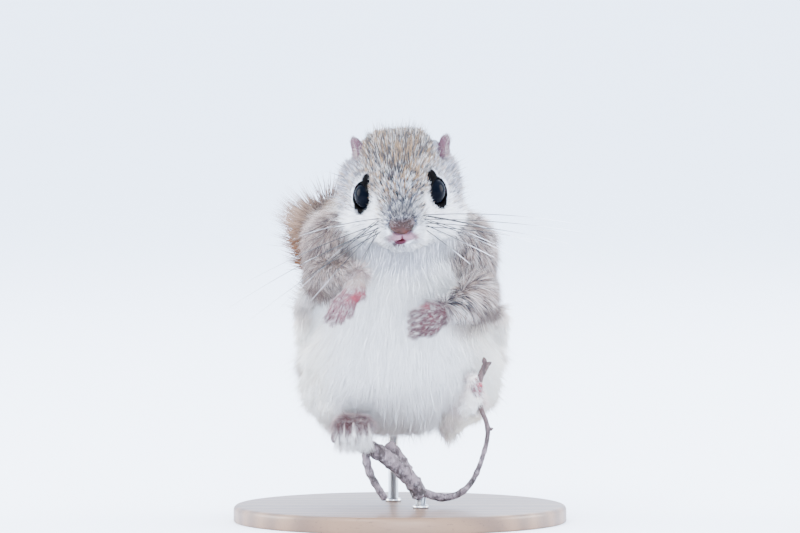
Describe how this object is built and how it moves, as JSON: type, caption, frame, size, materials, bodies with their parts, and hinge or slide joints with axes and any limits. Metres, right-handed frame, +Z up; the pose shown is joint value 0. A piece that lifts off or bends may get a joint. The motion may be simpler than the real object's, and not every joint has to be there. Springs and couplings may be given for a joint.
{
  "type": "life-size flying squirrel on a twig perch",
  "caption": "Still museum model of a Siberian flying squirrel in winter coat, sitting hunched on a cut twig above a round stand",
  "frame": {"origin": "centre of the underside of the stand", "axes": "+Z up, -Y the way the squirrel faces, +X the squirrel's left"},
  "size_m": [0.1, 0.1, 0.1187],
  "materials": {
    "fur_grey": "dense soft winter fur, beige grey",
    "fur_white": "dense soft winter fur, white",
    "fur_brown": "dense soft winter fur, grey brown",
    "skin_pink": "bare skin with short pale hair",
    "eye_black": "wet black gloss",
    "claw": "thin horn",
    "whisker": "stiff hair, dark root and pale tip",
    "bark": "rough grey-brown twig bark",
    "stand_wood": "satin turned wood",
    "steel": "satin steel rod"
  },
  "bodies": {
    "root": {"head": "fur_grey", "neck": "fur_white", "torso": "fur_white", "rump": "fur_brown", "tail_base": "fur_brown", "tail_middle": "fur_brown", "tail_tip": "fur_brown", "ear_left": "skin_pink", "ear_right": "skin_pink", "eye_left": "eye_black", "eye_right": "eye_black", "nose": "skin_pink", "upper_arm_left": "fur_grey", "upper_arm_right": "fur_grey", "forearm_left": "fur_grey", "forearm_right": "fur_grey", "hand_left": "skin_pink", "hand_right": "skin_pink", "thigh_left": "fur_white", "thigh_right": "fur_white", "shank_left": "fur_white", "shank_right": "fur_white", "foot_left": "skin_pink", "foot_right": "skin_pink", "gliding_skin_left": "fur_brown", "gliding_skin_right": "fur_brown", "perch_branch": "bark", "perch_spur": "bark", "perch_hanger": "bark", "perch_side_twig": "bark", "stand_base": "stand_wood", "stand_rod_perch": "steel", "stand_rod_body": "steel"}
  },
  "joints": []
}
